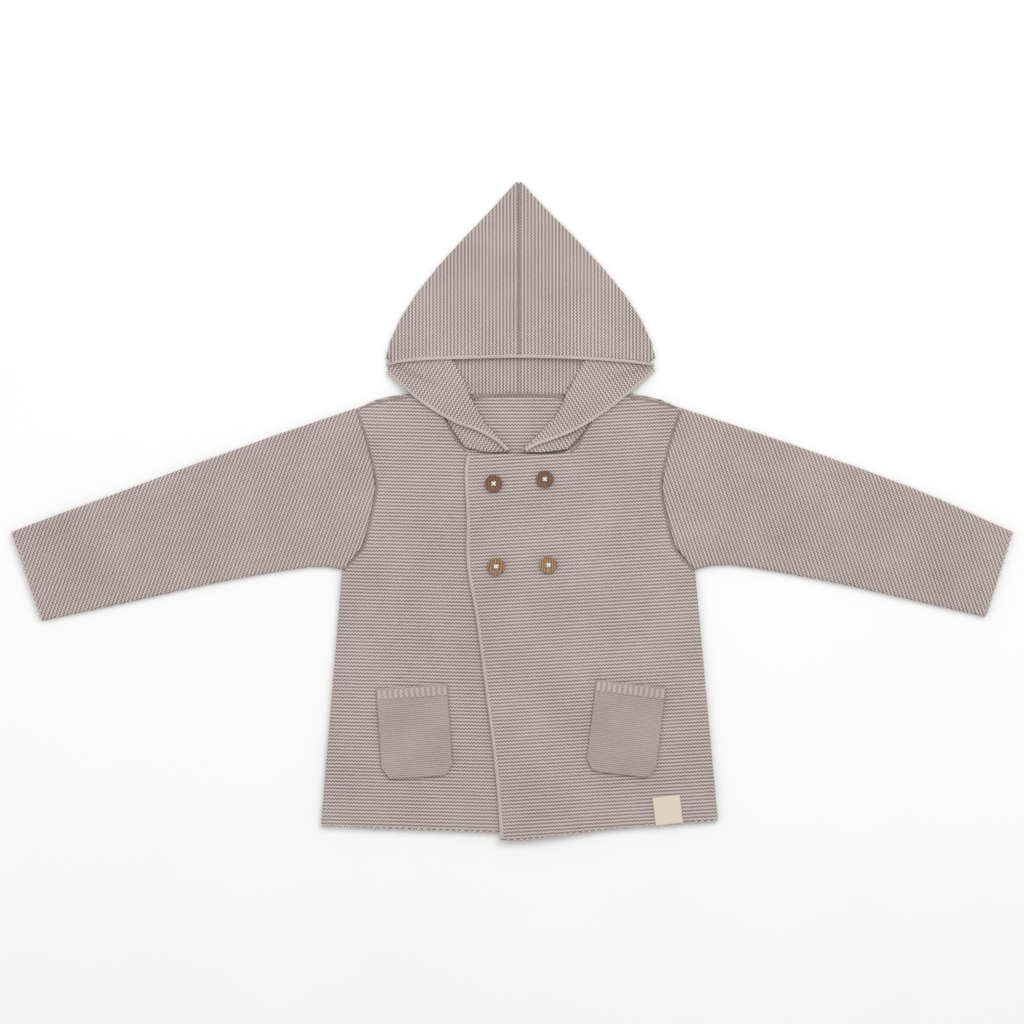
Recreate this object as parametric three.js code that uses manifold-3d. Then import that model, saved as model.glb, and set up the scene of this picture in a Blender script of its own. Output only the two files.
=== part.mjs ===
// Baby's hooded cardigan in garter stitch, lying flat on its back with its front up.
// Millimetres. X runs across the chest, Y from the hem to the tip of the hood, +Z is up.
// Every knitted piece is one wall of cloth, drawn as a grid of points in the middle of the cloth
// and thickened to both sides. Layers that lie on each other are one layer height apart.

import * as THREE from 'three';
import { mergeVertices } from 'three/addons/utils/BufferGeometryUtils.js';
import Module from 'manifold-3d';

// ---------------------------------------------------------------- driving dimensions

const cloth = 2.0; // thickness of the knitted cloth
const gap = 0.3; // clearance between two pieces, at a seam or where one lies on another
const layer = cloth + gap; // rise from one layer of cloth to the next
const foldRadius = layer / 2; // middle line of a fold between two layers
const foldReach = foldRadius + cloth / 2; // how far a fold stands out past its start
const neckClearance = 0.9; // the hood's stand stops this much further in, where the neck edge curves
const seamGap = 1.0; // clearance along the armhole, where the cloth leans
const puff = 1.2; // how far the middle of the fronts and sleeves lifts off the layer below

const pocketCloth = 1.2; // fine jersey of the pockets
const pocketStand = 0.5; // the pockets stand this much further off the facets of the front
const labelCloth = 0.5;

const button = { radius: 6.9, height: 2.6, rimWidth: 1.4, dish: 0.7, holeRadius: 0.95, holeOffset: 1.75 };

const right = -1; // the wearer's right, at negative X
const left = 1; // the wearer's left, at positive X

// Height of the middle of the cloth in each layer: 0 lies on the surface.
const middle = (level) => cloth / 2 + level * layer;

// ---------------------------------------------------------------- outline of the body

// Distances x are measured out from the centre line, on both sides alike unless a table says not.

const sideSeam = { underarmX: 141, underarmY: -49, hemRight: { x: 157.8, y: -251 }, hemLeft: { x: 159, y: -246.4 } };

// Armhole seam from the underarm to the shoulder point.
const armhole = [
  { x: 139, y: -46.5 },
  { x: 124.5, y: -29 },
  { x: 118.5, y: -8 },
  { x: 113.5, y: 18 },
  { x: 115.5, y: 34 },
  { x: 121, y: 57 },
  { x: 129.2, y: 82.5 },
];

// Shoulder seam from the shoulder point to the neck point, which the hood hides.
const shoulder = [
  { x: 129.2, y: 82.5 },
  { x: 113.4, y: 88.2 },
  { x: 100, y: 91 },
  { x: 87.5, y: 92.6 },
  { x: 75, y: 91.5 },
  { x: 62, y: 87.5 },
];
const backShoulderRise = 1.6; // the back's shoulder edge shows this far past the front's

// Neck edge of a front, from the neck point down to the level stretch at the top of the lap.
const frontNeck = [
  { x: 62, y: 87.5 },
  { x: 60.6, y: 76 },
  { x: 54.5, y: 65 },
  { x: 48, y: 54.5 },
  { x: 38, y: 47.6 },
];
const lapTop = 46; // y of the level top edge of a front, past the hood

const backNeck = { height: 94.2, drop: 4.6, reach: 62 }; // shallow arch: height falls by drop at x = reach

// Free front edge of the left front, which laps over: from its top corner to the hem.
const lapEdge = [
  { x: -41.2, y: 46 },
  { x: -43, y: 30 },
  { x: -41.4, y: -5 },
  { x: -41.2, y: -42 },
  { x: -34, y: -85 },
  { x: -26.4, y: -143 },
  { x: -18.8, y: -205 },
  { x: -14.6, y: -262.2 },
];

// Free front edge of the right front, hidden under the lap.
const underEdge = [
  { x: 38, y: 46 },
  { x: 38, y: 0 },
  { x: 36, y: -60 },
  { x: 28, y: -150 },
  { x: 18, y: -257 },
];

// Hems, from the side seam to the free front edge.
const hemOfRightFront = [
  { x: -157.8, y: -251 },
  { x: -94.6, y: -253.4 },
  { x: -17, y: -256 },
  { x: 18, y: -257 },
];
const hemOfLeftFront = [
  { x: 159, y: -246.4 },
  { x: 121.4, y: -249.8 },
  { x: 73.4, y: -253.6 },
  { x: 25.4, y: -259.4 },
  { x: 2, y: -262.2 },
  { x: -14.6, y: -262.2 },
];
const hemOfBack = [
  { x: -157.2, y: -250 },
  { x: -60, y: -253.5 },
  { x: 60, y: -253 },
  { x: 158.4, y: -245.6 },
];

// The lap: the left front rides one layer up over the right front and comes down past its edge.
const lapDown = { from: 42, to: 54 };

// ---------------------------------------------------------------- outline of the sleeves

const sleeves = {
  [right]: {
    upper: [{ x: 129.2, y: 82.5 }, { x: 214.6, y: 53.6 }, { x: 310.6, y: 18.6 }, { x: 405.2, y: -16 }],
    lower: [{ x: 139, y: -46.5 }, { x: 166.6, y: -44 }, { x: 238.6, y: -56 }, { x: 310.6, y: -72 }, { x: 381, y: -87.4 }],
  },
  [left]: {
    upper: [{ x: 129.2, y: 82.5 }, { x: 217.4, y: 53.6 }, { x: 313.4, y: 19.2 }, { x: 394.6, y: -16.2 }],
    lower: [{ x: 139, y: -46.5 }, { x: 169.4, y: -42.4 }, { x: 241.4, y: -54.4 }, { x: 313.4, y: -70.4 }, { x: 373, y: -84.2 }],
  },
};

// ---------------------------------------------------------------- outline of the hood

const hoodTip = 264; // y of the peak
const brimHeight = 124.4; // y of the brim at the centre seam
const seamHalf = gap / 2; // each half of the hood stops this far from the centre line
const peakHalf = 1.1; // and this far at the peak, where the fold leans

// Each half of the hood is drawn as columns from the neck seam over the fold to the brim edge.
// back: how far along the silhouette the column folds over, from the peak at 0 to the corner at 1.
// rollX, rollY: where the cloth starts to lift towards the lapel, by lift.
const hoodColumns = [
  { neckX: 0, side: 0, rollX: 0, rollY: 150, brimX: 0, lift: 0 },
  { neckX: 8, side: 0.12, rollX: 15, rollY: 150, brimX: 14, lift: 0 },
  { neckX: 15, side: 0.27, rollX: 31, rollY: 152, brimX: 31, lift: 0 },
  { neckX: 21, side: 0.43, rollX: 48, rollY: 154, brimX: 49, lift: 0 },
  { neckX: 26, side: 0.59, rollX: 59, rollY: 140, brimX: 66, lift: 1.2 },
  { neckX: 30, side: 0.74, rollX: 54.5, rollY: 123, brimX: 81, lift: 2.6 },
  { neckX: 33.5, side: 0.87, rollX: 47, rollY: 109, brimX: 94, lift: 3.6 },
  { neckX: 36.5, side: 0.96, rollX: 41.5, rollY: 98.5, brimX: 102.5, lift: 4.4 },
];

// The lapel: columns from the front neck seam, round the roll line, out to the brim edge.
const lapels = {
  [right]: [
    { seamX: 41, seamY: 94.2, rollX: 39.6, rollY: 94.6, edgeX: 104.6, edgeY: 113.4 },
    { seamX: 60.6, seamY: 88.2, rollX: 36.4, rollY: 88, edgeX: 87, edgeY: 95.4 },
    { seamX: 60, seamY: 76, rollX: 31.6, rollY: 78.4, edgeX: 69, edgeY: 82 },
    { seamX: 54, seamY: 65, rollX: 25, rollY: 68.3, edgeX: 49.8, edgeY: 71.2 },
    { seamX: 44, seamY: 50.8, rollX: 17.8, rollY: 61.6, edgeX: 32, edgeY: 65 },
    { seamX: 26, seamY: 46.6, rollX: 11.4, rollY: 54.6, edgeX: 17, edgeY: 56.2 },
    { seamX: 9, seamY: 46.4, rollX: 6.4, rollY: 50, edgeX: 9, edgeY: 48.9 },
  ],
  [left]: [
    { seamX: 41, seamY: 94.2, rollX: 37.8, rollY: 94, edgeX: 108.2, edgeY: 114.6 },
    { seamX: 60.6, seamY: 88.2, rollX: 35, rollY: 86, edgeX: 88, edgeY: 95 },
    { seamX: 60, seamY: 76, rollX: 29, rollY: 75.4, edgeX: 68, edgeY: 79.6 },
    { seamX: 54, seamY: 65, rollX: 20.4, rollY: 66, edgeX: 47.6, edgeY: 66.6 },
    { seamX: 40, seamY: 49.4, rollX: 13, rollY: 59.4, edgeX: 29, edgeY: 58.6 },
    { seamX: 20, seamY: 46.6, rollX: 7.4, rollY: 54, edgeX: 14, edgeY: 53.4 },
    { seamX: 5, seamY: 46.4, rollX: 2.8, rollY: 50, edgeX: 5.6, edgeY: 48.9 },
  ],
};

// Corner of the silhouette where the brim turns round the fold.
const hoodCorner = { [right]: { x: 107.4, y: 117.5 }, [left]: { x: 110.6, y: 118 } };

// ---------------------------------------------------------------- what is sewn on

// Patch pockets: middle of the top edge, size and tilt in degrees.
const pockets = {
  [right]: { x: -85.6, y: -139.4, width: 56.6, height: 73, corner: 9, tilt: 4 },
  [left]: { x: 89.8, y: -137.4, width: 55.8, height: 73, corner: 9, tilt: -7 },
};

const buttonPlaces = [
  { x: -20, y: 22.3 },
  { x: 20.9, y: 25.8 },
  { x: -18, y: -43.8 },
  { x: 23.7, y: -42.6 },
];

const label = { x: 117.6, y: -227.3, width: 22, height: 22.6, tilt: 7 };

// ---------------------------------------------------------------- curves and patches

const point = (row) => new THREE.Vector2(row.x, row.y);
const mirrored = (rows, side) => rows.map((row) => ({ x: row.x * side, y: row.y }));
const lerp = (a, b, t) => a + (b - a) * t;
const clamp = (t) => Math.min(1, Math.max(0, t));
const ease = (t) => clamp(t) * clamp(t) * (3 - 2 * clamp(t));

// Smooth curve through the rows of a table, as a function of t from 0 to 1.
function through(rows) {
  const curve = new THREE.SplineCurve(rows.map(point));
  return (t) => curve.getPoint(clamp(t));
}

// One border made of curves laid end to end, each with its share of the border.
function chain(...stretches) {
  const total = stretches.reduce((sum, [share]) => sum + share, 0);
  return (t) => {
    let start = 0;
    for (const [share, curve] of stretches) {
      const end = start + share / total;
      if (t <= end || curve === stretches[stretches.length - 1][1]) {
        return curve((t - start) / (end - start));
      }
      start = end;
    }
    return null;
  };
}

// The same border run the other way.
const reversed = (curve) => (t) => curve(1 - t);

// A border moved sideways by a distance, to the left of its direction of travel.
function offset(curve, distance) {
  const step = 0.002;
  return (t) => {
    const ahead = curve(Math.min(1, t + step));
    const behind = curve(Math.max(0, t - step));
    const along = ahead.clone().sub(behind).normalize();
    return curve(t).clone().add(new THREE.Vector2(-along.y, along.x).multiplyScalar(distance));
  };
}

// Patch between four borders: hem and top run with u, start and end run with v.
function patch(hem, top, start, end) {
  const corner = [hem(0), hem(1), top(0), top(1)];
  return (u, v) => {
    const across = hem(u).multiplyScalar(1 - v).add(top(u).multiplyScalar(v));
    const along = start(v).multiplyScalar(1 - u).add(end(v).multiplyScalar(u));
    const low = corner[0].clone().multiplyScalar(1 - u).add(corner[1].clone().multiplyScalar(u));
    const high = corner[2].clone().multiplyScalar(1 - u).add(corner[3].clone().multiplyScalar(u));
    return across.add(along).sub(low.multiplyScalar(1 - v)).sub(high.multiplyScalar(v));
  };
}

// ---------------------------------------------------------------- walls of cloth

// Closed wall of cloth on a grid of middle points, grid[i][j]. A ring joins its last j to its first.
function wall(grid, thickness, ring = false) {
  const columns = grid.length;
  const rows = grid[0].length;
  const half = thickness / 2;
  const positions = [];
  const row = (j) => (ring ? (j + rows) % rows : Math.min(rows - 1, Math.max(0, j)));
  const at = (i, j) => grid[Math.min(columns - 1, Math.max(0, i))][row(j)];

  for (const sign of [1, -1]) {
    for (let i = 0; i < columns; i += 1) {
      for (let j = 0; j < rows; j += 1) {
        const du = at(i + 1, j).clone().sub(at(i - 1, j));
        const dv = at(i, j + 1).clone().sub(at(i, j - 1));
        const normal = du.cross(dv).normalize().multiplyScalar(sign * half);
        positions.push(...grid[i][j].clone().add(normal).toArray());
      }
    }
  }

  const outer = (i, j) => i * rows + row(j);
  const inner = (i, j) => columns * rows + outer(i, j);
  const triangles = [];
  const quad = (a, b, c, d) => triangles.push(a, b, c, a, c, d);
  const lastRow = ring ? rows : rows - 1;
  for (let i = 0; i < columns - 1; i += 1) {
    for (let j = 0; j < lastRow; j += 1) {
      quad(outer(i, j), outer(i + 1, j), outer(i + 1, j + 1), outer(i, j + 1));
      quad(inner(i, j), inner(i, j + 1), inner(i + 1, j + 1), inner(i + 1, j));
    }
  }
  const end = columns - 1;
  for (let j = 0; j < lastRow; j += 1) {
    quad(outer(0, j), outer(0, j + 1), inner(0, j + 1), inner(0, j));
    quad(outer(end, j + 1), outer(end, j), inner(end, j), inner(end, j + 1));
  }
  if (!ring) {
    const top = rows - 1;
    for (let i = 0; i < end; i += 1) {
      quad(outer(i + 1, 0), outer(i, 0), inner(i, 0), inner(i + 1, 0));
      quad(outer(i, top), outer(i + 1, top), inner(i + 1, top), inner(i, top));
    }
  }
  const geometry = new THREE.BufferGeometry();
  geometry.setAttribute('position', new THREE.Float32BufferAttribute(positions, 3));
  geometry.setIndex(triangles);
  return geometry;
}

// Grid of middle points over a patch, at the height that the function gives.
function grid(surface, columns, rows, height) {
  const points = [];
  for (let i = 0; i <= columns; i += 1) {
    const line = [];
    for (let j = 0; j <= rows; j += 1) {
      const { x, y } = surface(i / columns, j / rows);
      line.push(new THREE.Vector3(x, y, height(x, y)));
    }
    points.push(line);
  }
  return points;
}

// ---------------------------------------------------------------- heights of the body

// Soft lift of the fronts over the belly, nothing at the side seams, the hem and the chest.
function bellyLift(x, y) {
  const across = clamp(1 - (x / 138) ** 2);
  const along = ease((y + 248) / 70) * ease((40 - y) / 70);
  return puff * across * along;
}

const rightFrontHeight = (x, y) => middle(1) + bellyLift(x, y);

function leftFrontHeight(x, y) {
  const down = ease((x - lapDown.from) / (lapDown.to - lapDown.from));
  return lerp(middle(2), middle(1), down) + bellyLift(x, y);
}

// ---------------------------------------------------------------- body panels

const sideOf = (side) => {
  const hem = side === right ? sideSeam.hemRight : sideSeam.hemLeft;
  return through(mirrored([hem, { x: sideSeam.underarmX, y: sideSeam.underarmY }], side));
};
const armholeOf = (side) => through(mirrored(armhole, side));
const shoulderOf = (side) => through(mirrored(shoulder, side));

// Hem to shoulder point, up the side seam and the armhole.
const flank = (side) => chain([7, sideOf(side)], [7, armholeOf(side)]);

function backPanel() {
  const raise = (curve) => (t) => curve(t).add(new THREE.Vector2(0, backShoulderRise));
  const neck = (t) => {
    const x = lerp(-backNeck.reach, backNeck.reach, t);
    return new THREE.Vector2(x, backNeck.height - backNeck.drop * (x / backNeck.reach) ** 2);
  };
  const blend = (side) => (t) => {
    const p = raise(shoulderOf(side))(t);
    return new THREE.Vector2(p.x, p.y - backShoulderRise * (1 - ease(t * 4)) + 0.5 * ease(t * 4 - 3));
  };
  const top = chain([5, blend(right)], [8, neck], [5, reversed(blend(left))]);
  const surface = patch(through(hemOfBack), top, flank(right), flank(left));
  return wall(grid(surface, 18, 12, () => middle(0)), cloth);
}

function frontPanel(side, hem, freeEdge, height) {
  const corner = freeEdge[0];
  const levelStart = frontNeck[frontNeck.length - 1];
  const level = through([{ x: levelStart.x * side, y: levelStart.y }, { x: levelStart.x * side * 0.55, y: lapTop }, corner]);
  const top = chain([5, shoulderOf(side)], [4, through(mirrored(frontNeck, side))], [6, level]);
  const end = through([...freeEdge].reverse());
  const surface = patch(through(hem), top, flank(side), end);
  const points = grid(surface, 16, 12, height);
  return wall(side === right ? points : points.reverse(), cloth);
}

// ---------------------------------------------------------------- sleeves

// Flattened tube: the back wall on the surface, the front wall one layer up, joined by two folds.
function sleeve(side) {
  const sections = 12;
  const acrossSteps = 6;
  const foldSteps = 4;
  const { upper, lower } = sleeves[side];
  const sign = side; // the lower edge runs outward, so its left-hand side is up on the left sleeve
  const upperEdge = offset(through(mirrored(upper, side)), -sign * foldReach);
  const lowerEdge = offset(through(mirrored(lower, side)), sign * foldReach);
  const armholeEdge = offset(armholeOf(side), -sign * seamGap);
  const cuffEdge = (t) => lowerEdge(1).lerp(upperEdge(1), t);
  const start = (t) => {
    const inset = foldReach / 130;
    return armholeEdge(lerp(inset, 1 - inset, t));
  };
  const surface = patch(lowerEdge, upperEdge, start, cuffEdge);
  const rings = [];
  for (let i = 0; i <= sections; i += 1) {
    const u = i / sections;
    const along = [armholeEdge(0).sub(start(0)), start(1).sub(armholeEdge(1))];
    const across = lowerEdge(u).sub(upperEdge(u));
    const [down, up] = along.map((end) => end.normalize().lerp(across.clone().normalize(), ease(u * 6)).normalize());
    const ring = [];
    const lift = puff * ease(u * 5) * ease((1 - u) * 6);
    for (let j = 0; j <= acrossSteps; j += 1) {
      const v = j / acrossSteps;
      const { x, y } = surface(u, v);
      ring.push(new THREE.Vector3(x, y, middle(1) + lift * Math.sin(Math.PI * v)));
    }
    const fold = (v, turn, reach) => {
      const { x, y } = surface(u, v);
      const out = reach * foldRadius * Math.sin(turn);
      const way = v === 0 ? down : up;
      ring.push(new THREE.Vector3(x + way.x * out, y + way.y * out, middle(0.5) + foldRadius * Math.cos(turn)));
    };
    for (let k = 1; k < foldSteps; k += 1) {
      fold(1, (Math.PI * k) / foldSteps, -1);
    }
    for (let j = acrossSteps; j >= 0; j -= 1) {
      const { x, y } = surface(u, j / acrossSteps);
      ring.push(new THREE.Vector3(x, y, middle(0)));
    }
    for (let k = foldSteps - 1; k > 0; k -= 1) {
      fold(0, (Math.PI * k) / foldSteps, 1);
    }
    rings.push(ring);
  }
  return wall(side === left ? rings : rings.reverse(), cloth, true);
}

// ---------------------------------------------------------------- hood

// Silhouette of one half from the peak to the corner, where the cloth folds over.
function silhouetteOf(side) {
  const corner = hoodCorner[side];
  const curve = new THREE.CubicBezierCurve(
    new THREE.Vector2(0, hoodTip),
    new THREE.Vector2(corner.x * 0.52, hoodTip - 58),
    new THREE.Vector2(corner.x * 0.93, hoodTip - 98),
    new THREE.Vector2(corner.x, corner.y),
  );
  return (t) => curve.getPoint(t);
}

// x of a line of rows at height y, held at its ends.
function lineAt(rows, y) {
  const last = rows.length - 1;
  if (y >= rows[0].y) return rows[0].x;
  for (let k = 0; k < last; k += 1) {
    if (y >= rows[k + 1].y) {
      return lerp(rows[k + 1].x, rows[k].x, (y - rows[k + 1].y) / (rows[k].y - rows[k + 1].y));
    }
  }
  return rows[last].x;
}

// How far the lapel stands above the layer behind it, from the fading crease down to the shoulder.
const liftAt = (y) => lineAt([
  { x: 0, y: 158 },
  { x: 1.2, y: 140 },
  { x: 2.6, y: 123 },
  { x: 4.6, y: 96 },
], y);

function hoodHalf(side) {
  const silhouette = silhouetteOf(side);
  const corner = hoodCorner[side];
  const lapel = lapels[side];
  const rollLine = [
    ...hoodColumns.slice(3).map((c) => ({ x: c.rollX, y: c.rollY })),
    ...lapel.map((c) => ({ x: c.rollX, y: c.rollY })),
  ];
  const outerLine = [{ x: corner.x, y: corner.y }, ...lapel.map((c) => ({ x: c.edgeX, y: c.edgeY }))];

  // Middle of the layer that lies behind, and of the lapel as part of it: x out from the centre line.
  const behind = (x, y) => {
    const roll = lineAt(rollLine, y);
    if (x <= roll) return middle(0);
    const outer = Math.max(lineAt(outerLine, y), roll + 20);
    const fall = ease((x - roll) / (outer - roll)) * ease((y - 95) / 14);
    return middle(0) + liftAt(y) * (1 - fall);
  };
  // Middle of the top layer, which lies on the lapel and sags between the two rolls.
  const above = (x, y) => {
    const roll = lineAt(rollLine, y);
    const sag = x < roll ? 0.6 + 0.4 * (x / roll) ** 2 : 1;
    const lifted = x < roll ? middle(0) + liftAt(y) * sag : behind(x, y);
    return lifted + layer;
  };

  const columns = [];
  const foldSteps = 4;
  const flatSteps = 3;
  const topSteps = 6;

  const straight = (column, from, to, steps, height, skipLast) => {
    const count = skipLast ? steps - 1 : steps;
    for (let k = 1; k <= count; k += 1) {
      const p = from.clone().lerp(to, k / steps);
      column.push(new THREE.Vector3(p.x, p.y, height(p.x, p.y, k / steps)));
    }
  };

  for (const row of hoodColumns) {
    const x = Math.max(row.neckX, seamHalf);
    const neck = new THREE.Vector2(x, backNeck.height - backNeck.drop * (x / backNeck.reach) ** 2 + gap);
    const fold = silhouette(row.side);
    const ahead = silhouette(Math.min(1, row.side + 0.01));
    const behindPoint = silhouette(Math.max(0, row.side - 0.01));
    const along = ahead.clone().sub(behindPoint).normalize();
    const out = row.side === 0 ? new THREE.Vector2(0, 1) : new THREE.Vector2(-along.y, along.x);
    fold.sub(out.clone().multiplyScalar(foldReach));
    fold.x = Math.max(fold.x, row.side === 0 ? peakHalf : seamHalf);
    const roll = new THREE.Vector2(Math.max(row.rollX, seamHalf), row.rollY);
    const brimX = Math.max(row.brimX, seamHalf);
    const brim = new THREE.Vector2(brimX, lerp(brimHeight, corner.y + 0.6, (brimX / corner.x) ** 2.4));

    const column = [new THREE.Vector3(neck.x, neck.y, middle(0))];
    straight(column, neck, roll, flatSteps, () => middle(0), true);
    // The crease: a short rise across the roll line.
    const rise = roll.clone().sub(neck).normalize();
    for (let k = 0; k <= foldSteps; k += 1) {
      const t = k / foldSteps;
      const p = roll.clone().add(rise.clone().multiplyScalar((t - 0.5) * 2.4));
      column.push(new THREE.Vector3(p.x, p.y, middle(0) + liftAt(roll.y) * ease(t)));
    }
    const top = column[column.length - 1];
    const from = new THREE.Vector2(top.x, top.y);
    straight(column, from, fold, 5, (px, py, t) => lerp(top.z, middle(0), ease(t)), true);
    const reach = brim.distanceTo(fold);
    for (let k = 0; k <= foldSteps; k += 1) {
      const turn = (Math.PI * k) / foldSteps;
      const p = fold.clone().add(out.clone().multiplyScalar(foldRadius * Math.sin(turn)));
      column.push(new THREE.Vector3(p.x, p.y, middle(0.5) - foldRadius * Math.cos(turn)));
    }
    straight(column, fold, brim, topSteps, (px, py, t) => lerp(middle(1), above(px, py), ease(t * reach / 12)), false);
    columns.push(column);
  }

  const cornerCurl = 1; // columns whose brim edge only curls up round the corner of the silhouette
  lapel.forEach((row, index) => {
    const seam = new THREE.Vector2(row.seamX, row.seamY + gap);
    const roll = new THREE.Vector2(row.rollX, row.rollY);
    const edge = new THREE.Vector2(row.edgeX, row.edgeY);
    const inward = roll.clone().sub(seam).normalize();
    seam.add(inward.clone().multiplyScalar(neckClearance));
    const onFront = side === left ? leftFrontHeight(seam.x, 0) - bellyLift(seam.x, 0) : middle(1);
    const low = index === 0 ? middle(1) : onFront;
    const high = index === 0 ? middle(2) : onFront + layer;
    const column = [new THREE.Vector3(seam.x, seam.y, low)];
    const turnPoint = roll.clone().sub(inward.clone().multiplyScalar(foldReach));
    straight(column, seam, turnPoint, flatSteps, () => low, true);
    for (let k = 0; k <= foldSteps; k += 1) {
      const turn = (Math.PI * k) / foldSteps;
      const p = turnPoint.clone().add(inward.clone().multiplyScalar(foldRadius * Math.sin(turn)));
      column.push(new THREE.Vector3(p.x, p.y, (low + high) / 2 - ((high - low) / 2) * Math.cos(turn)));
    }
    const flatCount = 5 + foldSteps + topSteps;
    const outHeight = (px, py) => {
      const rest = side === left ? leftFrontHeight(px, 0) - bellyLift(px, 0) + layer : middle(2);
      return py > 94 ? Math.min(high, behind(px, py)) : rest;
    };
    straight(column, turnPoint, edge, flatCount, (px, py, t) => lerp(high, outHeight(px, py), ease(t * 3)), false);
    if (index < cornerCurl) {
      for (let k = 1; k <= foldSteps; k += 1) {
        const p = column[column.length - 1 - foldSteps + k];
        p.z += (foldRadius * k * k) / (foldSteps * foldSteps);
      }
    }
    columns.push(column);
  });

  const points = columns.map((column) => column.map((p) => new THREE.Vector3(p.x * side, p.y, p.z)));
  return wall(side === left ? points : points.reverse(), cloth);
}

// ---------------------------------------------------------------- pockets, label and buttons

// Rectangle with rounded lower corners, hanging from the middle of its top edge.
function hanging(place, steps, rows, height) {
  const turn = THREE.MathUtils.degToRad(place.tilt);
  const points = [];
  for (let i = 0; i <= steps; i += 1) {
    const line = [];
    const across = (i / steps - 0.5) * place.width;
    const cut = Math.max(0, Math.abs(across) - (place.width / 2 - place.corner));
    const rounding = place.corner - Math.sqrt(Math.max(0, place.corner ** 2 - cut ** 2));
    for (let j = 0; j <= rows; j += 1) {
      const down = -(1 - j / rows) * (place.height - rounding);
      const x = place.x + across * Math.cos(turn) - down * Math.sin(turn);
      const y = place.y + across * Math.sin(turn) + down * Math.cos(turn);
      line.push(new THREE.Vector3(x, y, height(x, y)));
    }
    points.push(line);
  }
  return points;
}

function pocket(side) {
  const height = side === right ? rightFrontHeight : leftFrontHeight;
  const rise = cloth / 2 + gap + pocketCloth / 2 + pocketStand;
  return wall(hanging(pockets[side], 10, 6, (x, y) => height(x, y) + rise), pocketCloth);
}

function hemLabel() {
  const rise = cloth / 2 + gap + labelCloth / 2;
  const square = { ...label, corner: 0.01 };
  return wall(hanging(square, 3, 3, (x, y) => leftFrontHeight(x, y) + rise), labelCloth);
}

const wasm = await Module();
wasm.setup();

function toManifold(geometry) {
  const bare = geometry.clone();
  bare.deleteAttribute('normal');
  bare.deleteAttribute('uv');
  const merged = mergeVertices(bare, 1e-4);
  const vertProperties = new Float32Array(merged.attributes.position.array);
  const triVerts = new Uint32Array(merged.index.array);
  return new wasm.Manifold(new wasm.Mesh({ numProp: 3, vertProperties, triVerts }));
}

function toGeometry(manifold) {
  const mesh = manifold.getMesh();
  const geometry = new THREE.BufferGeometry();
  geometry.setAttribute('position', new THREE.BufferAttribute(mesh.vertProperties, 3));
  geometry.setIndex(new THREE.BufferAttribute(mesh.triVerts, 1));
  return geometry;
}

// Round button with a raised rim, a dished middle and four holes. It sits on z = 0.
function buttonGeometry() {
  const { radius, height, rimWidth, dish, holeRadius, holeOffset } = button;
  const profile = [
    [0, 0],
    [radius * 0.62, 0],
    [radius, height * 0.42],
    [radius, height * 0.78],
    [radius - rimWidth * 0.4, height],
    [radius - rimWidth * 0.75, height],
    [radius - rimWidth * 1.3, height - dish],
    [0, height - dish],
  ].map(([r, z]) => new THREE.Vector2(r, z));
  const body = new THREE.LatheGeometry(profile, 24);
  body.rotateX(Math.PI / 2);
  let solid = toManifold(body);
  for (const [sx, sy] of [[1, 1], [1, -1], [-1, 1], [-1, -1]]) {
    const hole = new THREE.CylinderGeometry(holeRadius, holeRadius, height * 3, 8);
    hole.rotateX(Math.PI / 2);
    hole.translate(sx * holeOffset, sy * holeOffset, height / 2);
    solid = solid.subtract(toManifold(hole));
  }
  return toGeometry(solid);
}

// ---------------------------------------------------------------- the garment

const knit = new THREE.MeshStandardMaterial({ color: 0xac9e9c, roughness: 0.95, metalness: 0 });
const jersey = new THREE.MeshStandardMaterial({ color: 0xb0a2a0, roughness: 0.95, metalness: 0 });
const wood = new THREE.MeshStandardMaterial({ color: 0x8f6a4a, roughness: 0.55, metalness: 0 });
const cream = new THREE.MeshStandardMaterial({ color: 0xe1d4c0, roughness: 0.85, metalness: 0 });

const garment = new THREE.Group();

function add(name, geometry, material) {
  const mesh = new THREE.Mesh(geometry, material);
  mesh.name = name;
  garment.add(mesh);
  return mesh;
}

add('back', backPanel(), knit);
add('front_right', frontPanel(right, hemOfRightFront, underEdge, rightFrontHeight), knit);
add('front_left', frontPanel(left, hemOfLeftFront, lapEdge, leftFrontHeight), knit);
add('sleeve_right', sleeve(right), knit);
add('sleeve_left', sleeve(left), knit);
add('hood_right', hoodHalf(right), knit);
add('hood_left', hoodHalf(left), knit);
add('pocket_right', pocket(right), jersey);
add('pocket_left', pocket(left), jersey);
buttonPlaces.forEach(({ x, y }, index) => {
  const mesh = add(`button_${index + 1}`, buttonGeometry(), wood);
  mesh.position.set(x, y, leftFrontHeight(x, y) + cloth / 2 + gap);
});
add('hem_label', hemLabel(), cream);

// The origin is under the middle of the garment's box.
const box = new THREE.Box3().setFromObject(garment);
garment.position.set(-(box.min.x + box.max.x) / 2, -(box.min.y + box.max.y) / 2, -box.min.z);

export default garment;
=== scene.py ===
# %% [markdown]
# A baby's hooded cardigan in garter stitch, laid flat with its front up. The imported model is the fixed
# frame: it holds the place, size and layers of every piece. Each knitted piece is made here as a thin
# shell on the form of its own solid, so nothing has to be fitted afterwards.

# %% Load the frame
import math
import bmesh
import bpy
from mathutils import Matrix, Vector, noise


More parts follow.
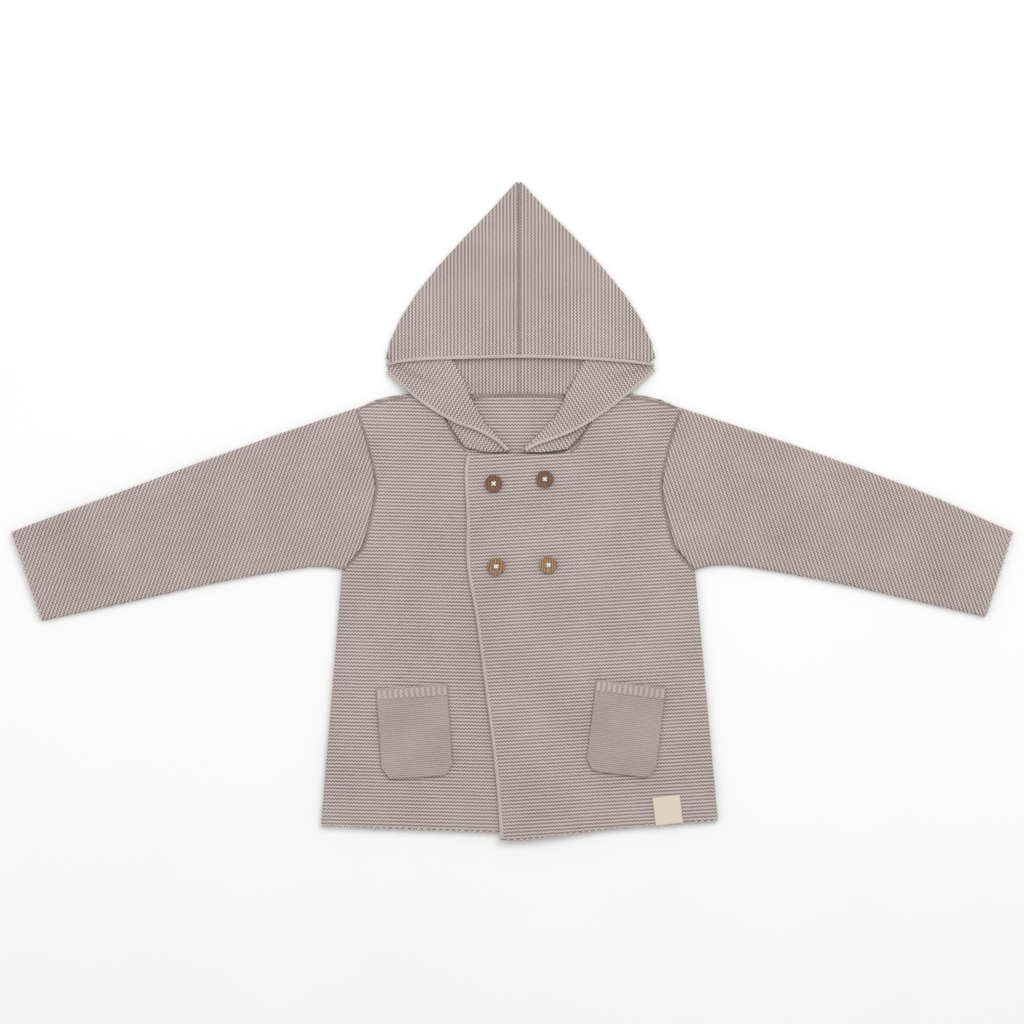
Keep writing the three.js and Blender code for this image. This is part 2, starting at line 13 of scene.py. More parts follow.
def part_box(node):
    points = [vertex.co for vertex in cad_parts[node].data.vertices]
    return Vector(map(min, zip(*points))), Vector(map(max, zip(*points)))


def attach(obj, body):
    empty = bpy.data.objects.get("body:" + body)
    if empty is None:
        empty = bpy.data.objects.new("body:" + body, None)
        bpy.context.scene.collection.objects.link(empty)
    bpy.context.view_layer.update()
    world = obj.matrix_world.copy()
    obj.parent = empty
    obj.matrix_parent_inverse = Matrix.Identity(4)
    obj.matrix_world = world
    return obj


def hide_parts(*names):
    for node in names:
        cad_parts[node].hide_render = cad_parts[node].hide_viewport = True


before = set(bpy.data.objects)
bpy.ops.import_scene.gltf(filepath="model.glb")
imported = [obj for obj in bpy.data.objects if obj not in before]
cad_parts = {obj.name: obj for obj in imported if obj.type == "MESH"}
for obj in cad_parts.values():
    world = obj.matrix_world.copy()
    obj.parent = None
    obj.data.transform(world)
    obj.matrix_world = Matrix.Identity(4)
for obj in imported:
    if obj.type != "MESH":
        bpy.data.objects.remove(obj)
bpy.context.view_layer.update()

MM = 0.001

# %% [markdown]
# The sizes that the surfaces need: how far apart the ridges of garter stitch and the stitches along
# them lie, and where the centre line of the garment runs. The centre is read off the hood, whose two
# halves meet on it.

# %% Driving sizes
RIDGE = 2.8 * MM          # from one ridge of garter stitch to the next
STITCH = 2.5 * MM         # from one stitch to the next along a ridge
JERSEY_ROW = 1.7 * MM
CLOTH = 2.0 * MM
EDGE_LENGTH = 2.4 * MM    # longest edge of a shell after it has been divided
DIVISIONS = 6             # at most this many rounds of dividing
CREASE_SHARE = 0.3        # how much of a crease the lowest layer of cloth takes
UNEVEN = 0.12 * MM        # slow rise and fall of the surface
CENTRE_X = (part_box("hood_right")[1][0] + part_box("hood_left")[0][0]) / 2
SHIFT_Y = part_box("hood_left")[1][1] - 264 * MM   # the frame's y less the maker's y
print("centre line", CENTRE_X, "shift", SHIFT_Y)


def place(x, y, z=0.0):
    """A point given in millimetres from the centre line, in the frame."""
    return Vector((CENTRE_X + x * MM, SHIFT_Y + y * MM, z * MM))


# %% [markdown]
# Yarn colours are given as they are seen on a screen, and turned into the linear values that a shader
# works in.

# %% Colours
def linear(red, green, blue):
    def channel(value):
        value /= 255
        return value / 12.92 if value <= 0.04045 else ((value + 0.055) / 1.055) ** 2.4
    return (channel(red), channel(green), channel(blue), 1.0)


# The darkest tone is painted shade down in the grooves of the knit, and the lightest is painted highlight
# on the tops of its beads; the middle ones are the yarn's own colour.
GROOVE_SHADE = linear(118, 102, 100)
YARN = linear(180, 165, 163)
BEAD_HIGHLIGHT = linear(214, 201, 197)
EDGE_YARN = linear(208, 194, 186)

# %% [markdown]
# Garter stitch is rows of rounded bumps that hook into each other: along a ridge the bumps of two rows
# alternate. A picture of it could be painted or modelled loop by loop. Two waves are enough: one across
# the ridges, and one along them that changes sign at each side of a ridge. They are worked out in the
# shader from a map laid on the cloth in metres, so the ridges follow the cut of each piece.

# %% A small helper for shader nodes
class Tree:
    """Short names for the shader nodes that every finish here is built from."""

    def __init__(self, name):
        self.material = bpy.data.materials.new(name)
        self.material.use_nodes = True
        self.nodes = self.material.node_tree.nodes
        self.links = self.material.node_tree.links
        self.shader = self.nodes["Principled BSDF"]

    def put(self, socket, value):
        if isinstance(value, bpy.types.NodeSocket):
            self.links.new(value, socket)
        else:
            socket.default_value = value

    def math(self, operation, first, second=0.0):
        node = self.nodes.new("ShaderNodeMath")
        node.operation = operation
        self.put(node.inputs[0], first)
        self.put(node.inputs[1], second)
        return node.outputs[0]

    def noise(self, vector, scale, detail=2.0):
        node = self.nodes.new("ShaderNodeTexNoise")
        self.put(node.inputs["Vector"], vector)
        node.inputs["Scale"].default_value = scale
        node.inputs["Detail"].default_value = detail
        return node.outputs["Fac"]

    def ramp(self, factor, stops):
        node = self.nodes.new("ShaderNodeValToRGB")
        elements = node.color_ramp.elements
        while len(elements) < len(stops):
            elements.new(0.5)
        for element, (position, colour) in zip(elements, stops):
            element.position = position
            element.color = colour
        self.put(node.inputs[0], factor)
        return node.outputs[0]

    def bump(self, height, distance, strength=1.0):
        node = self.nodes.new("ShaderNodeBump")
        node.inputs["Strength"].default_value = strength
        node.inputs["Distance"].default_value = distance
        self.put(node.inputs["Height"], height)
        self.put(self.shader.inputs["Normal"], node.outputs[0])


def knit_material(name, ridge, stitch, contrast, dark, mid, light):
    """A knitted finish from the height of its ridges, its stitches and its loose fibre, coloured from
    painted shade in the grooves to painted highlight on the bead tops.
    """
    tree = Tree(name)
    uv = tree.nodes.new("ShaderNodeUVMap")
    uv.uv_map = "knit"
    coordinates = tree.nodes.new("ShaderNodeTexCoord").outputs["Object"]
    split = tree.nodes.new("ShaderNodeSeparateXYZ")
    tree.put(split.inputs[0], uv.outputs[0])
    drift = tree.math("MULTIPLY", tree.math("SUBTRACT", tree.noise(coordinates, 90.0), 0.5), 0.9)
    row = tree.math("ADD", tree.math("MULTIPLY", split.outputs[1], 2 * math.pi / ridge), drift)
    wale = tree.math("MULTIPLY", split.outputs[0], 2 * math.pi / stitch)
    ridges = tree.math("COSINE", row)
    beads = tree.math("MULTIPLY", tree.math("COSINE", wale), tree.math("SINE", row))
    fibre = tree.math("MULTIPLY", tree.math("SUBTRACT", tree.noise(coordinates, 900.0, 4.0), 0.5), 0.9)
    wave = tree.math("ADD", tree.math("MULTIPLY", ridges, 0.20), tree.math("MULTIPLY", beads, 0.24))
    height = tree.math("ADD", tree.math("ADD", wave, 0.5), tree.math("MULTIPLY", fibre, 0.35))
    patches = tree.math("MULTIPLY", tree.math("SUBTRACT", tree.noise(coordinates, 22.0), 0.5), 0.25)
    # The colour follows the height: painted shade where the relief is low and painted highlight where it is
    # high, with random patches of the yarn's own tone.
    shade = tree.math("ADD", tree.math("MULTIPLY", tree.math("SUBTRACT", height, 0.5), contrast), 0.5)
    shade = tree.math("ADD", shade, patches)
    colour = tree.ramp(shade, [(0.08, dark), (0.5, mid), (0.95, light)])
    tree.put(tree.shader.inputs["Base Color"], colour)
    tree.shader.inputs["Roughness"].default_value = 0.95
    tree.shader.inputs["Specular IOR Level"].default_value = 0.15
    tree.shader.inputs["Sheen Weight"].default_value = 0.25
    tree.shader.inputs["Sheen Roughness"].default_value = 0.5
    tree.bump(height, 0.0009, 0.9)
    return tree.material


KNIT = knit_material("garter stitch", RIDGE, STITCH, 1.5, GROOVE_SHADE, YARN, BEAD_HIGHLIGHT)
JERSEY = knit_material("fine jersey", JERSEY_ROW, 1.9 * MM, 0.7, GROOVE_SHADE, YARN, BEAD_HIGHLIGHT)
# The chain's dark tone is painted shade between its stitches, and its light tone is painted highlight on
# their tops.
CHAIN = knit_material("chain edge", 1.6 * MM, 2.4 * MM, 0.8, linear(150, 133, 126), EDGE_YARN, BEAD_HIGHLIGHT)
print("knit finishes made")

# %% [markdown]
# Every piece of this garment is made the same way: a mesh is built in memory, handed to a new object,
# given one finish, and fixed to the one body of the frame.

# %% From a mesh in memory to a piece of the garment
def piece_from(mesh, name, material):
    """Turn a mesh that is being built into a piece that rides on the body, and free the mesh."""
    data = bpy.data.meshes.new(name)
    mesh.to_mesh(data)
    mesh.free()
    piece = bpy.data.objects.new(name, data)
    bpy.context.scene.collection.objects.link(piece)
    data.materials.append(material)
    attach(piece, "root")
    return piece


# %% [markdown]
# Each shell starts as its own solid. The facets are welded, every long edge is divided, and the
# points are eased up and down, which rounds the cut edges and takes the facets out of the folds. A few
# long, shallow troughs and ridges are then pressed in, of uneven length and depth.

# %% Shells on the solids
# Creases: middle, direction in degrees, half length, half width and depth, all in millimetres.
CREASES = [
    {"x": -108, "y": 30, "turn": 75, "long": 34, "wide": 7, "deep": -0.9},
    {"x": 106, "y": 26, "turn": 108, "long": 30, "wide": 8, "deep": -0.8},
    {"x": -120, "y": -40, "turn": 38, "long": 26, "wide": 6, "deep": 0.7},
    {"x": 121, "y": -38, "turn": 142, "long": 24, "wide": 6, "deep": 0.7},
    {"x": -70, "y": -60, "turn": 94, "long": 60, "wide": 14, "deep": -0.7},
    {"x": 90, "y": -80, "turn": 86, "long": 52, "wide": 12, "deep": 0.6},
    {"x": -180, "y": 0, "turn": 62, "long": 30, "wide": 9, "deep": -0.8},
    {"x": 196, "y": 2, "turn": 118, "long": 28, "wide": 9, "deep": -0.7},
    {"x": -290, "y": -20, "turn": 24, "long": 55, "wide": 8, "deep": 0.6},
    {"x": 300, "y": -22, "turn": -22, "long": 48, "wide": 8, "deep": 0.6},
    {"x": -60, "y": 190, "turn": 62, "long": 30, "wide": 9, "deep": 0.7},
    {"x": 52, "y": 180, "turn": 110, "long": 26, "wide": 8, "deep": 0.6},
]


def crease(point):
    """How far the creases lift a point of the cloth."""
    lift = 0.0
    for row in CREASES:
        away = point - place(row["x"], row["y"])
        turn = math.radians(row["turn"])
        along = (away.x * math.cos(turn) + away.y * math.sin(turn)) / (row["long"] * MM)
        across = (away.y * math.cos(turn) - away.x * math.sin(turn)) / (row["wide"] * MM)
        lift += row["deep"] * MM * math.exp(-along * along - across * across)
    return lift


def shell(node, map_point, material, longest=EDGE_LENGTH, soften=4):
    """A softened copy of a solid, with fine edges and a map for the knit."""
    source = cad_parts[node]
    mesh = bmesh.new()
    mesh.from_mesh(source.data)
    bmesh.ops.remove_doubles(mesh, verts=mesh.verts, dist=1e-5)
    for _ in range(DIVISIONS):
        long_edges = [edge for edge in mesh.edges if edge.calc_length() > longest]
        if not long_edges:
            break
        bmesh.ops.subdivide_edges(mesh, edges=long_edges, cuts=1, use_grid_fill=True)
        bmesh.ops.triangulate(mesh, faces=[face for face in mesh.faces if len(face.verts) > 3])
    for _ in range(soften):
        bmesh.ops.smooth_vert(mesh, verts=mesh.verts, factor=0.5, use_axis_x=False, use_axis_y=False,
                              use_axis_z=True)
    for vertex in mesh.verts:
        vertex.co.z += max(0.0, vertex.co.z) / CLOTH * CREASE_SHARE * crease(vertex.co)
        vertex.co.z += UNEVEN * noise.noise(vertex.co * 120)
        vertex.co.z = max(0.0, vertex.co.z)
    layer = mesh.loops.layers.uv.new("knit")
    for face in mesh.faces:
        face.smooth = True
        middle = face.calc_center_median()
        for loop in face.loops:
            loop[layer].uv = map_point(loop.vert.co, middle)
    piece = piece_from(mesh, node + "_knit", material)
    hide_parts(node)
    print(node, "shell of", len(piece.data.polygons), "triangles")
    return piece


# %% [markdown]
# The ridges run across the body and sleeves and up and down the hood. The map gives each point of a
# piece its place along the ridges and across them, turned to suit the piece.

# %% Maps for the knit
def turned(degrees, fan=0.0):
    """A map whose ridges are turned by degrees, and by fan more for each metre from the centre."""
    def map_point(point, middle):
        turn = math.radians(degrees + fan * (point.x - CENTRE_X))
        return (point.x * math.cos(turn) + point.y * math.sin(turn),
                point.y * math.cos(turn) - point.x * math.sin(turn))
    return map_point


def hood_map(hand):
    """Ridges stand upright on the hood, and lean towards the edge where the lapel shows."""
    def map_point(point, middle):
        out = (middle.x - CENTRE_X) * hand / MM
        up = (middle.y - SHIFT_Y) / MM
        if up < 117 + 7 * (1 - (out / 108) ** 2) and out > 8 + (up - 50) * 0.62:
            turn = math.radians(90 + hand * 33)
        else:
            turn = math.radians(90)
        return (point.x * math.cos(turn) + point.y * math.sin(turn),
                point.y * math.cos(turn) - point.x * math.sin(turn))
    return map_point


back = shell("back", turned(0), KNIT, 3.4 * MM)
front_right = shell("front_right", turned(-1.5), KNIT)
front_left = shell("front_left", turned(3.5), KNIT)
sleeve_right = shell("sleeve_right", turned(90 - 20.5), KNIT)
sleeve_left = shell("sleeve_left", turned(90 + 19), KNIT)
hood_right = shell("hood_right", hood_map(-1), KNIT)
hood_left = shell("hood_left", hood_map(1), KNIT)
pocket_right = shell("pocket_right", turned(4), JERSEY, 1.6 * MM, 2)
pocket_left = shell("pocket_left", turned(-7), JERSEY, 1.6 * MM, 2)

# %% [markdown]
# The label is a square of plain cream cotton tape. It is bare: nothing is printed on it.

# %% Hem label
def cotton_material():
    tree = Tree("cotton tape")
    coordinates = tree.nodes.new("ShaderNodeTexCoord").outputs["Object"]
    weave = tree.nodes.new("ShaderNodeTexWave")
    weave.inputs["Scale"].default_value = 900.0
    weave.inputs["Distortion"].default_value = 1.5
    tree.put(weave.inputs["Vector"], coordinates)
    colour = tree.ramp(weave.outputs["Fac"], [(0.0, linear(216, 203, 182)), (1.0, linear(234, 224, 206))])
    tree.put(tree.shader.inputs["Base Color"], colour)
    tree.shader.inputs["Roughness"].default_value = 0.85
    tree.bump(weave.outputs["Fac"], 0.0002, 0.5)
    return tree.material


hem_label = shell("hem_label", turned(0), cotton_material(), 1.5 * MM, 1)

# %% [markdown]
# Free knitted edges are finished with a chain: a plump line of stitches a little lighter than the
# cloth. A chain could be bump on the edge, but it catches the light along the brim, the lapels and the
# front edge, so it is a real tube that swells at every stitch, laid on the cloth by rays cast down.

# %% Chains along the free edges
CHAIN_STEP = 0.8 * MM     # from one ring of a tube to the next
CHAIN_RADIUS = 1.25 * MM
CHAIN_SWELL = 0.18        # how much a chain swells at each stitch, as a share of its radius
FLATNESS = 0.7            # height of a tube as a share of its width
ABOVE = 50 * MM           # where the rays that look for the cloth start
SEAM_REACH = 2.0 * MM     # how far to each side a seam looks for the cloth it joins


def drop(point, names):
    """The top of the highest of these pieces under a point, in metres."""
    heights = []
    for name in names:
        other = bpy.data.objects[name]
        hit, where, _, _ = other.ray_cast(Vector((point.x, point.y, ABOVE)), Vector((0, 0, -1)))
        if hit:
            heights.append(where.z)
    return max(heights, default=None)


def walk(rows, step):
    """Points a step apart along a smooth line through rows of x, y in millimetres."""
    points = [place(x, y) for x, y in rows]
    fine = []
    for index in range(len(points) - 1):
        before = points[max(0, index - 1)]
        start, end = points[index], points[index + 1]
        after = points[min(len(points) - 1, index + 2)]
        count = max(4, int((end - start).length / (0.4 * MM)))
        for k in range(count):
            t = k / count
            fine.append(0.5 * (2 * start + (end - before) * t
                               + (2 * before - 5 * start + 4 * end - after) * t * t
                               + (3 * start - before - 3 * end + after) * t ** 3))
    fine.append(points[-1])
    spaced, carried = [fine[0]], 0.0
    for first, second in zip(fine, fine[1:]):
        carried += (second - first).length
        if carried >= step:
            spaced.append(second)
            carried = 0.0
    return spaced


def tube(name, lines, radius, swell, material, names, sides=8):
    """One mesh of tubes along lines of points, swelling once for each stitch."""
    mesh = bmesh.new()
    layer = mesh.loops.layers.uv.new("knit")
    for line in lines:
        rings = []
        level = None
        for index, point in enumerate(line):
            ahead = line[min(index + 1, len(line) - 1)] - line[max(index - 1, 0)]
            side = Vector((-ahead.y, ahead.x, 0)).normalized()
            found = [drop(point + side * away, names) for away in (-SEAM_REACH, 0.0, SEAM_REACH)]
            under = max((height for height in found if height is not None), default=None)
            if level is None:
                level = 1 * MM if under is None else under
            elif under is not None:
                level = 0.5 * level + 0.5 * under
            size = radius * (1 + swell * math.cos(index * math.pi / 1.5))
            ring = []
            for k in range(sides):
                turn = 2 * math.pi * k / sides
                offset = side * math.cos(turn) * size + Vector((0, 0, 1)) * math.sin(turn) * size * FLATNESS
                ring.append(mesh.verts.new(Vector((point.x, point.y, level)) + offset))
            rings.append(ring)
        for index, (first, second) in enumerate(zip(rings, rings[1:])):
            for k in range(sides):
                n = (k + 1) % sides
                face = mesh.faces.new((first[k], first[n], second[n], second[k]))
                face.smooth = True
                for loop, (u, v) in zip(face.loops, ((0, 0), (0, 1), (1, 1), (1, 0))):
                    loop[layer].uv = ((index + u) * CHAIN_STEP, (k + v) * CHAIN_STEP / 2)
        mesh.faces.new(list(reversed(rings[0])))
        mesh.faces.new(rings[-1])
    bmesh.ops.recalc_face_normals(mesh, faces=mesh.faces)
    piece = piece_from(mesh, name, material)
    print(name, len(piece.data.polygons), "faces")
    return piece


BRIM = [(-105.6, 117.6), (-95, 120.4), (-75, 122.3), (-50, 123.2), (-20, 124), (0, 124.4),
        (20, 124), (50, 123), (78, 121.2), (98, 119.2), (109, 117.4)]
LAPEL_RIGHT = [(-104.8, 112.4), (-87, 96.2), (-69, 82.8), (-49.8, 72), (-32, 65.6), (-17, 57),
               (-9, 49.4)]
LAPEL_LEFT = [(108.4, 113.8), (88, 95.8), (68, 80.4), (47.6, 67.6), (29, 59.6), (14, 54.2),
              (5.6, 49.4)]
LAP_EDGE = [(-40, 45), (-41.8, 30), (-40.2, -5), (-40, -42), (-32.8, -85), (-25.2, -143),
            (-17.6, -205), (-13.4, -261)]
HOODS = ["hood_right_knit", "hood_left_knit"]

hood_edges = [walk(rows, CHAIN_STEP) for rows in (BRIM, LAPEL_RIGHT, LAPEL_LEFT)]
tube("edge_chains", hood_edges, CHAIN_RADIUS, CHAIN_SWELL, CHAIN, HOODS)
tube("lap_chain", [walk(LAP_EDGE, CHAIN_STEP)], CHAIN_RADIUS, CHAIN_SWELL, CHAIN, ["front_left_knit"])

# %% [markdown]
# Seams lie a little below the cloth beside them and show as a close line of stitches: at the armholes,
# the shoulders, the base of the hood and down the middle of the hood.

# %% Seams
ARMHOLE = [(139, -46), (124.5, -29), (118.5, -8), (113.5, 18), (115.5, 34), (121, 57), (129, 82)]
SHOULDER = [(129, 82), (113.4, 87.2), (100, 90), (89, 91.2)]
NECK = [(60, 75), (54, 64.6), (47, 53), (41, 48)]
CREST = [(0, 262), (0, 200), (0, 126)]
NECK_BACK = [(-38, 91.5), (-15, 93.6), (15, 93.6), (36, 91.6)]


def both(rows):
    """The same line on the wearer's right and left."""
    return [[(x * hand, y) for x, y in rows] for hand in (-1, 1)]


# Seam stitches are painted darker in their grooves as painted shade and lighter on their tops as painted
# highlight.
SEAM_YARN = knit_material("seam stitches", 1.2 * MM, 2.2 * MM, 1.2,
                          GROOVE_SHADE, linear(170, 156, 153), YARN)
BODY = ["front_right_knit", "front_left_knit", "sleeve_right_knit", "sleeve_left_knit"]
seam_lines = [walk(rows, CHAIN_STEP) for rows in both(ARMHOLE) + both(SHOULDER) + both(NECK)]
tube("body_seams", seam_lines, 0.95 * MM, 0.25, SEAM_YARN, BODY, 6)
hood_lines = [walk(rows, CHAIN_STEP) for rows in (CREST, NECK_BACK)]
tube("hood_seams", hood_lines, 1.6 * MM, 0.2, SEAM_YARN, HOODS + ["back_knit"], 6)

# %% [markdown]
# The hems and cuffs are cast on with a small scallop every second stitch. Each scallop is a short
# plump loop set along the edge, and one loop is copied all the way along.

# %% Scallops at hem and cuffs
HEM_RIGHT = [(-156, -250.4), (-94.6, -252.8), (-19, -255.4)]
HEM_LEFT = [(157, -246.2), (121.4, -249.2), (73.4, -253), (25.4, -258.8), (2, -261.4), (-12, -261.6)]
CUFF_RIGHT = [(-403.6, -17), (-380.6, -86)]
CUFF_LEFT = [(393.4, -17), (372.4, -83)]
SCALLOP_STEP = 4.8 * MM
SCALLOP = Vector((1.9, 1.5, 0.9)) * MM    # half its width, length and height
SCALLOP_SINK = 0.6 * MM                   # how far its middle lies under the top of the cloth


def scallops(name, lines, names):
    """One mesh of plump loops set along lines on the cloth."""
    mesh = bmesh.new()
    layer = mesh.loops.layers.uv.new("knit")
    for line in lines:
        for point in walk(line, SCALLOP_STEP):
            under = drop(point, names) or 2.2 * MM
            made = bmesh.ops.create_icosphere(mesh, subdivisions=2, radius=1.0)["verts"]
            for vertex in made:
                vertex.co = vertex.co * SCALLOP
                vertex.co += Vector((point.x, point.y, max(under - SCALLOP_SINK, SCALLOP.z)))
    for face in mesh.faces:
        face.smooth = True
        for loop in face.loops:
            loop[layer].uv = (loop.vert.co.x, loop.vert.co.y)
    piece = piece_from(mesh, name, CHAIN)
    print(name, len(piece.data.polygons), "faces")
    return piece


scallops("hem_scallops", [HEM_RIGHT, HEM_LEFT], BODY)
scallops("cuff_scallops", [CUFF_RIGHT, CUFF_LEFT], BODY)

# %% [markdown]
# The pockets end in a band of upright ribs. Each rib is a short rounded bar on the band, set side by
# side by a loop from the width of the pocket.

# %% Pocket ribs
POCKETS = {
    "right": {"x": -85.6, "y": -139.4, "width": 56.6, "tilt": 4},
    "left": {"x": 89.8, "y": -137.4, "width": 55.8, "tilt": -7},
}
RIB_COUNT = 13
RIB_HEIGHT = 9.0          # in millimetres, as the pockets above are
RIB_RADIUS = 1.15 * MM
RIB_SWELL = 0.08


def ribs(hand):
    """The upright ribs of one pocket's band."""
    row = POCKETS[hand]
    turn = math.radians(row["tilt"])
    lines = []
    for index in range(RIB_COUNT):
        across = ((index + 0.5) / RIB_COUNT - 0.5) * row["width"]
        ends = []
        for down in (1.0, RIB_HEIGHT):
            ends.append((row["x"] + across * math.cos(turn) + down * math.sin(turn),
                         row["y"] + across * math.sin(turn) - down * math.cos(turn)))
        lines.append(walk(ends, CHAIN_STEP))
    return tube(f"pocket_{hand}_ribs", lines, RIB_RADIUS, RIB_SWELL, CHAIN, [f"pocket_{hand}_knit"])


pocket_ribs = {hand: ribs(hand) for hand in POCKETS}

# %% [markdown]
# The buttons are turned from coconut shell or wood: a dished face inside a raised rim, four holes, and
# white thread. Turning suits a spun profile, and the holes are cut with a boolean.

# %% Buttons
BUTTONS = {
    "button_1": linear(122, 82, 62), "button_2": linear(120, 84, 58),
    "button_3": linear(152, 116, 84), "button_4": linear(156, 120, 88),
}
RADIUS = 6.9 * MM
HEIGHT = 2.6 * MM
HOLE_OFFSET = 1.75 * MM   # from the middle to a hole, along x and along y
HOLE_RADIUS = 0.85 * MM
THREAD_RADIUS = 0.38 * MM
THREAD_REACH = 2.5 * MM   # from the middle to where a thread goes down
THREAD_BEND = 12          # pieces that a turn of thread is bent in


# From the foot up the side, over the rim and into the dish, as shares of the radius and the height.
PROFILE = [(0.62, 0), (0.9, 0.25), (1.0, 0.5), (0.99, 0.78), (0.95, 0.95), (0.89, 1.0),
           (0.82, 0.93), (0.74, 0.76), (0.5, 0.7), (0.1, 0.69)]


def wood_material(name, tone):
    tree = Tree(name)
    coordinates = tree.nodes.new("ShaderNodeTexCoord").outputs["Object"]
    grain = tree.nodes.new("ShaderNodeTexWave")
    grain.inputs["Scale"].default_value = 160.0
    grain.inputs["Distortion"].default_value = 6.0
    grain.inputs["Detail"].default_value = 3.0
    tree.put(grain.inputs["Vector"], coordinates)
    dark = tuple(channel * 0.45 for channel in tone[:3]) + (1.0,)
    light = tuple(min(1.0, channel * 1.35) for channel in tone[:3]) + (1.0,)
    colour = tree.ramp(grain.outputs["Fac"], [(0.1, dark), (0.55, tone), (1.0, light)])
    tree.put(tree.shader.inputs["Base Color"], colour)
    tree.shader.inputs["Roughness"].default_value = 0.45
    tree.bump(grain.outputs["Fac"], 0.0001, 0.4)
    return tree.material


def thread_material():
    tree = Tree("white thread")
    coordinates = tree.nodes.new("ShaderNodeTexCoord").outputs["Object"]
    twist = tree.noise(coordinates, 2500.0)
    tree.put(tree.shader.inputs["Base Color"],
             tree.ramp(twist, [(0.2, linear(214, 208, 196)), (0.8, linear(246, 243, 236))]))
    tree.shader.inputs["Roughness"].default_value = 0.8
    tree.bump(twist, 0.0001, 0.6)
    return tree.material


THREAD = thread_material()


def spun(profile, segments=64):
    """A mesh turned from rows of radius and height, closed at both ends."""
    mesh = bmesh.new()
    rings = []
    for radius, height in profile:
        rings.append([mesh.verts.new((radius * math.cos(2 * math.pi * k / segments),
                                      radius * math.sin(2 * math.pi * k / segments), height))
                      for k in range(segments)])
    for first, second in zip(rings, rings[1:]):
        for k in range(segments):
            n = (k + 1) % segments
            mesh.faces.new((first[k], first[n], second[n], second[k]))
    mesh.faces.new(list(reversed(rings[0])))
    mesh.faces.new(rings[-1])
    return mesh


def button(node, tone):
    """A turned button in the place of its node, and the middle of its foot."""
    low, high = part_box(node)
    middle = Vector(((low[0] + high[0]) / 2, (low[1] + high[1]) / 2, low[2]))
    mesh = spun([(RADIUS * out, HEIGHT * up) for out, up in PROFILE])
    data = bpy.data.meshes.new(node + "_turned")
    mesh.to_mesh(data)
    mesh.free()
    piece = bpy.data.objects.new(node + "_turned", data)
    bpy.context.scene.collection.objects.link(piece)
    for sx, sy in ((1, 1), (1, -1), (-1, 1), (-1, -1)):
        drill = spun([(HOLE_RADIUS, -2 * MM), (HOLE_RADIUS, 5 * MM)], 20)
        cutter_data = bpy.data.meshes.new("drill")
        drill.to_mesh(cutter_data)
        drill.free()
        cutter = bpy.data.objects.new("drill", cutter_data)
        bpy.context.scene.collection.objects.link(cutter)
        cutter.location = (sx * HOLE_OFFSET, sy * HOLE_OFFSET, 0)
        cut = piece.modifiers.new("hole", "BOOLEAN")
        cut.operation = "DIFFERENCE"
        cut.object = cutter
        bpy.context.view_layer.update()
        evaluated = piece.evaluated_get(bpy.context.evaluated_depsgraph_get())
        done = bpy.data.meshes.new_from_object(evaluated)
        piece.modifiers.clear()
        piece.data = done
        bpy.data.objects.remove(cutter)
    piece.data.transform(Matrix.Translation(middle))
    piece.data.materials.clear()
    piece.data.materials.append(wood_material(node + " wood", tone))
    for polygon in piece.data.polygons:
        polygon.use_smooth = abs(polygon.normal.z) < 0.98 and polygon.area < 4e-6
    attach(piece, "root")
    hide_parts(node)
    return piece, middle


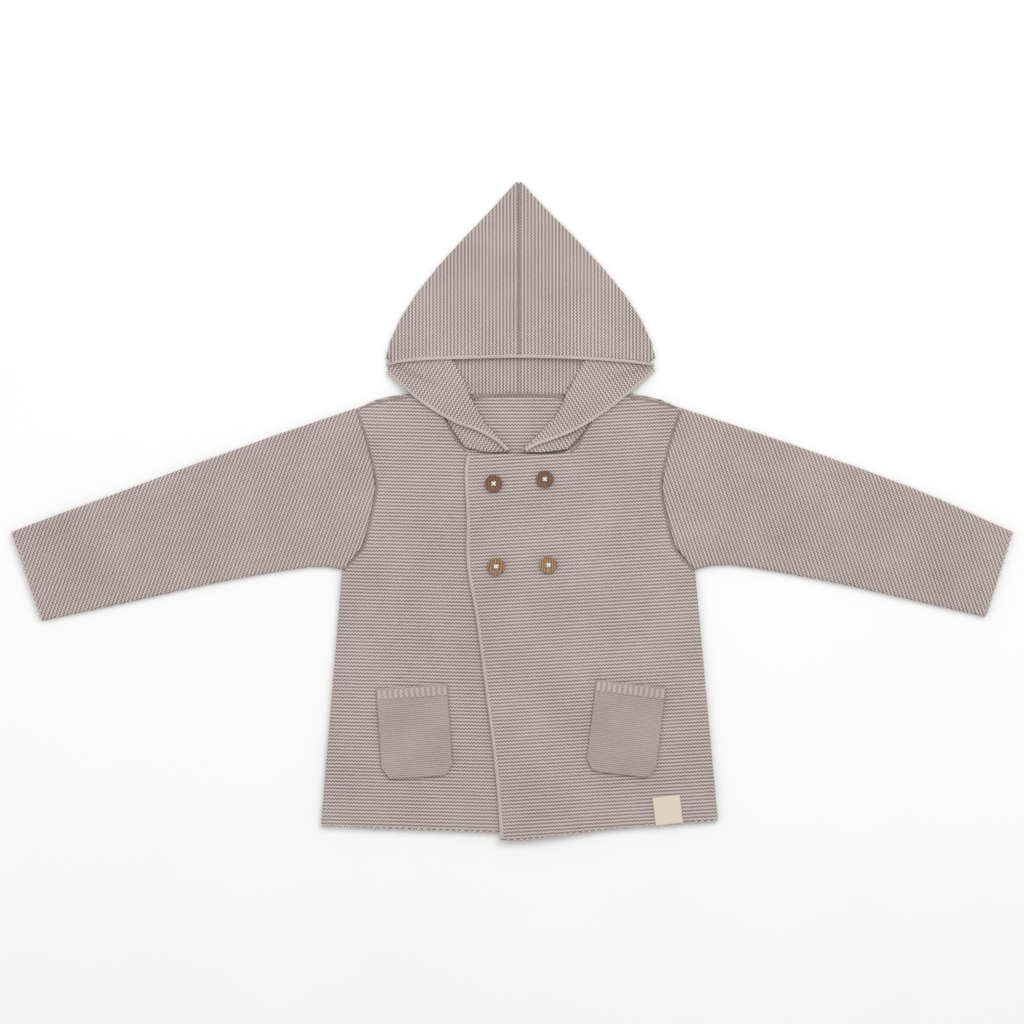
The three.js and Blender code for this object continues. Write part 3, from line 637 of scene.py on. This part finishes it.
def stitches(node, middle):
    """Two crossing turns of thread through the holes."""
    mesh = bmesh.new()
    for turn in (math.pi / 4, 3 * math.pi / 4):
        for side in (-0.35 * MM, 0.35 * MM):
            along = Vector((math.cos(turn), math.sin(turn), 0))
            across = Vector((-along.y, along.x, 0))
            rings = []
            for k in range(THREAD_BEND + 1):
                t = k / THREAD_BEND * 2 - 1
                centre = middle + along * t * THREAD_REACH + across * side
                centre.z += HEIGHT * 0.7 + (0.75 - 1.7 * t ** 4) * MM
                rings.append([mesh.verts.new(centre + across * math.cos(a) * THREAD_RADIUS
                                             + Vector((0, 0, 1)) * math.sin(a) * THREAD_RADIUS)
                              for a in (2 * math.pi * s / 8 for s in range(8))])
            for first, second in zip(rings, rings[1:]):
                for s in range(8):
                    n = (s + 1) % 8
                    face = mesh.faces.new((first[s], first[n], second[n], second[s]))
                    face.smooth = True
            mesh.faces.new(list(reversed(rings[0])))
            mesh.faces.new(rings[-1])
    bmesh.ops.recalc_face_normals(mesh, faces=mesh.faces)
    return piece_from(mesh, node + "_thread", THREAD)


for node, tone in BUTTONS.items():
    turned_button, centre = button(node, tone)
    stitches(node, centre)
print("buttons made")

# %% [markdown]

# %% [markdown]
# The garment lies on a plain pale surface under wide soft lights, seen straight from above.

# %% Floor, light and camera
def floor():
    bpy.ops.mesh.primitive_plane_add(size=6, location=(0, 0, -0.0004))
    plane = bpy.context.object
    plane.name = "floor"
    tree = Tree("pale paper")
    coordinates = tree.nodes.new("ShaderNodeTexCoord").outputs["Object"]
    shades = [(0.0, (0.90, 0.90, 0.90, 1)), (1.0, (0.93, 0.93, 0.93, 1))]
    tree.put(tree.shader.inputs["Base Color"], tree.ramp(tree.noise(coordinates, 6.0), shades))
    tree.shader.inputs["Roughness"].default_value = 0.9
    plane.data.materials.append(tree.material)


def light(name, location, size, power):
    """A wide square light that faces the garment."""
    lamp = bpy.data.lights.new(name, "AREA")
    lamp.size = size
    lamp.energy = power
    holder = bpy.data.objects.new(name, lamp)
    bpy.context.scene.collection.objects.link(holder)
    holder.location = location
    holder.rotation_euler = (-Vector(location)).to_track_quat("-Z", "Y").to_euler()


floor()
light("key", (0.7, 1.0, 1.5), 1.2, 14)
light("fill", (-1.1, 0.4, 1.4), 1.6, 6)
world = bpy.data.worlds.new("soft room")
bpy.context.scene.world = world
world.use_nodes = True
world.node_tree.nodes["Background"].inputs[0].default_value = (1, 1, 1, 1)
world.node_tree.nodes["Background"].inputs[1].default_value = 0.72
bpy.context.scene.view_settings.view_transform = "Standard"

FIELD = 0.8192            # width of what the camera sees, at the cloth
DISTANCE = 2.6
camera_data = bpy.data.cameras.new("camera")
camera_data.lens = camera_data.sensor_width * DISTANCE / FIELD
camera = bpy.data.objects.new("camera", camera_data)
bpy.context.scene.collection.objects.link(camera)
camera.location = (0, SHIFT_Y, DISTANCE)
bpy.context.scene.camera = camera
